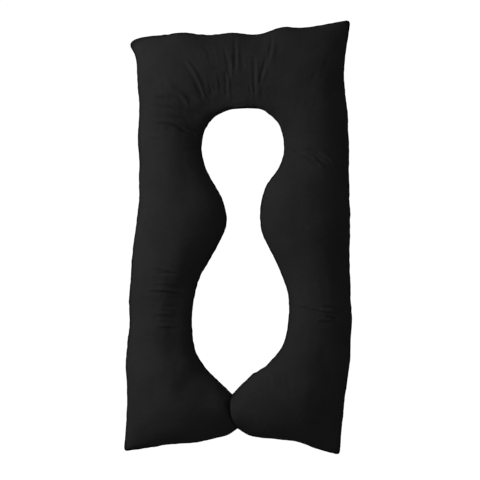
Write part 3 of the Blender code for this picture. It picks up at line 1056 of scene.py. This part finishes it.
class PILLOW_OT_make_cover(bpy.types.Operator):
    """Make the cotton cover over the filled form: settle it as cloth, then lay its folds and seams"""

    bl_idname = "pillow.make_cover"
    bl_label = "Make Cover"

    def execute(self, context):
        settings = context.scene.pillow_cover
        form = Form()
        form.check()
        settled = settle_cloth(form, settings)
        stations = Stations(COVER_STEP, EAR_STEPS)
        even = np.linspace(0, math.pi, COVER_TURNS + 1)
        turns = np.sort(np.concatenate((even, SEAM_TURNS, math.pi - np.array(SEAM_TURNS))))
        skipped = np.setdiff1d(even, even[::UNDER_TURNS])
        under = np.flatnonzero(~np.isin(turns, skipped))
        upper, lower, from_seams = finished_faces(form, stations, turns, under, settings, settled)
        cover = CoverMesh(*upper.shape[:2], under)
        mesh = cover.build("pillow_cover", upper, lower)
        lay_cloth(mesh, cover, cloth_places(upper, lower))
        # Painted shade: 1 at a seam, fading out along the cloth away from it
        painted_shade = mesh.attributes.new(PAINTED_SEAM_SHADE, "FLOAT", "POINT")
        painted_shade.data.foreach_set("value", bell(cover.around(*from_seams), PAINTED_SHADE_REACH))
        mesh.shade_smooth()
        mesh.materials.append(cotton_material(settings))
        piece = new_object("pillow_cover", mesh)
        for name, column in (("outer seam", 0), ("inner seam", -1)):
            group = piece.vertex_groups.new(name=name)
            group.add(cover.upper_ids[:, column].tolist(), 1.0, "REPLACE")
        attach(piece, BODY)
        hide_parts(SOLID)
        return {"FINISHED"}


def seam_guide(piece):
    """The seam's lines as edges, with the direction away from the pillow stored on each point."""
    points, edges = [], []
    for group in piece.vertex_groups:
        first = len(points)
        points += [v for v in piece.data.vertices if any(g.group == group.index for g in v.groups)]
        edges += [(number, number + 1) for number in range(first, len(points) - 1)]
    guide = bpy.data.meshes.new("seam_guide")
    guide.from_pydata([point.co for point in points], edges, [])
    attribute = guide.attributes.new("outward", "FLOAT_VECTOR", "POINT")
    attribute.data.foreach_set("vector", np.array([point.normal for point in points]).ravel())
    return new_object("seam_guide", guide)


def stitch_tree(inputs):
    """Geometry Nodes that set small slanting stitches across a seam, all along it."""
    tree = bpy.data.node_groups.new("seam stitches", "GeometryNodeTree")
    for name, kind in inputs:
        tree.interface.new_socket(name, in_out="INPUT", socket_type=f"NodeSocket{kind}")
    tree.interface.new_socket("Stitches", in_out="OUTPUT", socket_type="NodeSocketGeometry")
    given = node(tree, "NodeGroupInput").outputs

    def random_between(least, most):
        limits = {2: least, 3: most, "Seed": given["Seed"]}
        return node(tree, "FunctionNodeRandomValue", limits, data_type="FLOAT").outputs[1]

    line = output(tree, "GeometryNodeMeshToCurve", {"Mesh": given["Seam"]})
    along = {"Curve": line, "Length": given["Pitch"]}
    places = output(tree, "GeometryNodeResampleCurve", along, mode="LENGTH")
    thread = output(tree, "GeometryNodeMeshUVSphere", {"Segments": 6, "Rings": 4, "Radius": 1.0})
    radius, half_length = given["Thread Radius"], maths(tree, "MULTIPLY", given["Length"], 0.5)
    shape = output(tree, "ShaderNodeCombineXYZ", {0: radius, 1: radius, 2: half_length})
    stitch = output(tree, "GeometryNodeTransform", {"Geometry": thread, "Scale": shape})

    away = output(tree, "GeometryNodeInputNamedAttribute", {"Name": "outward"}, data_type="FLOAT_VECTOR")
    facing = output(tree, "FunctionNodeAlignRotationToVector", {"Vector": away}, axis="X", pivot_axis="Z")
    lean = random_between(*(maths(tree, "MULTIPLY", given["Slant"], share) for share in STITCH_SLANTS))
    slant = output(tree, "ShaderNodeCombineXYZ", {0: lean})
    turned = output(tree, "FunctionNodeRotateRotation", {0: facing, 1: slant}, rotation_space="LOCAL")
    size = random_between(*STITCH_SIZES)
    each = {"Points": places, "Instance": stitch, "Rotation": turned, "Scale": size}
    set_out = output(tree, "GeometryNodeInstanceOnPoints", each)
    made = output(tree, "GeometryNodeRealizeInstances", {0: set_out})
    smooth = output(tree, "GeometryNodeSetShadeSmooth", {"Geometry": made})
    dressed = output(tree, "GeometryNodeSetMaterial", {"Geometry": smooth, "Material": given["Thread"]})
    node(tree, "NodeGroupOutput", {0: dressed})
    return tree


class PILLOW_OT_sew_seam(bpy.types.Operator):
    """Sew the rim where the two panels of the cover meet"""

    bl_idname = "pillow.sew_seam"
    bl_label = "Sew Seam"

    def execute(self, context):
        settings = context.scene.pillow_seam
        guide = seam_guide(context.scene.objects["pillow_cover"])
        given = {
            ("Seam", "Geometry"): None,
            ("Pitch", "Float"): settings.pitch,
            ("Length", "Float"): settings.length,
            ("Thread Radius", "Float"): settings.thread_radius,
            ("Slant", "Float"): settings.slant,
            ("Seed", "Int"): settings.seed,
            ("Thread", "Material"): thread_material(settings),
        }
        modifier = guide.modifiers.new("Stitches", "NODES")
        modifier.node_group = stitch_tree(given)
        values = {name: value for (name, _), value in given.items() if value is not None}
        for socket in modifier.node_group.interface.items_tree:
            if socket.name in values:
                modifier[socket.identifier] = values[socket.name]
        evaluated = guide.evaluated_get(context.evaluated_depsgraph_get())
        mesh = bpy.data.meshes.new_from_object(evaluated)
        if not mesh.polygons:
            raise RuntimeError("the seam has no stitches")
        mesh.name = "seam_stitches"
        bpy.data.objects.remove(guide)
        piece = new_object("seam_stitches", mesh)
        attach(piece, BODY)
        return {"FINISHED"}


def soft_light(name, power, place, target):
    light = bpy.data.lights.new(name, "AREA")
    light.energy = power
    light.size = LIGHT_SIZE
    lamp = new_object(name, light)
    lamp.location = place
    lamp.rotation_mode = "QUATERNION"
    lamp.rotation_quaternion = (target - lamp.location).to_track_quat("-Z", "Y")
    lamp.visible_camera = False


class PILLOW_OT_set_stage(bpy.types.Operator):
    """Set the pale floor, the soft lights and the camera straight above the pillow"""

    bl_idname = "pillow.set_stage"
    bl_label = "Set Stage"

    def execute(self, context):
        settings = context.scene.pillow_stage
        scene = context.scene
        half = settings.floor_size / 2
        corners = [(-half, -half), (half, -half), (half, half), (-half, half)]
        mesh = bpy.data.meshes.new("floor")
        mesh.from_pydata([(x, y, -FLOOR_DROP) for x, y in corners], [], [(0, 1, 2, 3)])
        mesh.materials.append(floor_material(settings))
        new_object("floor", mesh)

        low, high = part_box(SOLID)
        middle = (low + high) / 2
        soft_light("side light", settings.side_light, SIDE_LIGHT_PLACE, middle)
        soft_light("top light", settings.top_light, TOP_LIGHT_PLACE, middle)
        world = bpy.data.worlds.new("studio")
        world.use_nodes = True
        sky = world.node_tree.nodes["Background"]
        sky.inputs["Color"].default_value = (1, 1, 1, 1)
        sky.inputs["Strength"].default_value = settings.sky
        scene.world = world
        scene.view_settings.view_transform = "Standard"

        camera = bpy.data.cameras.new("camera")
        camera.sensor_width = SENSOR
        rim_height = high.z * SEAM_HEIGHT_SHARE
        camera.lens = SENSOR * (settings.camera_height - rim_height) / settings.view_width
        camera.clip_end = settings.camera_height * 2
        eye = new_object("camera", camera)
        eye.location = (*settings.view_centre, settings.camera_height)
        scene.camera = eye
        return {"FINISHED"}


class PILLOW_PT_maker(bpy.types.Panel):
    """Makes the pillow, piece by piece"""

    bl_label = "Body Pillow"
    bl_idname = "PILLOW_PT_maker"
    bl_space_type = "VIEW_3D"
    bl_region_type = "UI"
    bl_category = "Pillow"

    def draw(self, context):
        for operator, settings, _ in STEPS:
            box = self.layout.box()
            group = getattr(context.scene, settings)
            for name in group.bl_rna.properties.keys():
                if name not in ("rna_type", "name"):
                    box.prop(group, name)
            box.operator(operator.bl_idname)


STEPS = (
    (PILLOW_OT_make_cover, "pillow_cover", PillowCoverSettings),
    (PILLOW_OT_sew_seam, "pillow_seam", PillowSeamSettings),
    (PILLOW_OT_set_stage, "pillow_stage", PillowStageSettings),
)
CLASSES = (*(settings for *_, settings in STEPS), *(operator for operator, *_ in STEPS), PILLOW_PT_maker)


def register():
    for made in CLASSES:
        bpy.utils.register_class(made)
    for _, name, settings in STEPS:
        setattr(bpy.types.Scene, name, PointerProperty(type=settings))


def unregister():
    for _, name, _ in STEPS:
        delattr(bpy.types.Scene, name)
    for made in reversed(CLASSES):
        bpy.utils.unregister_class(made)


def main():
    register()
    bpy.ops.pillow.make_cover()
    bpy.ops.pillow.sew_seam()
    bpy.ops.pillow.set_stage()


if __name__ == "__main__":
    main()
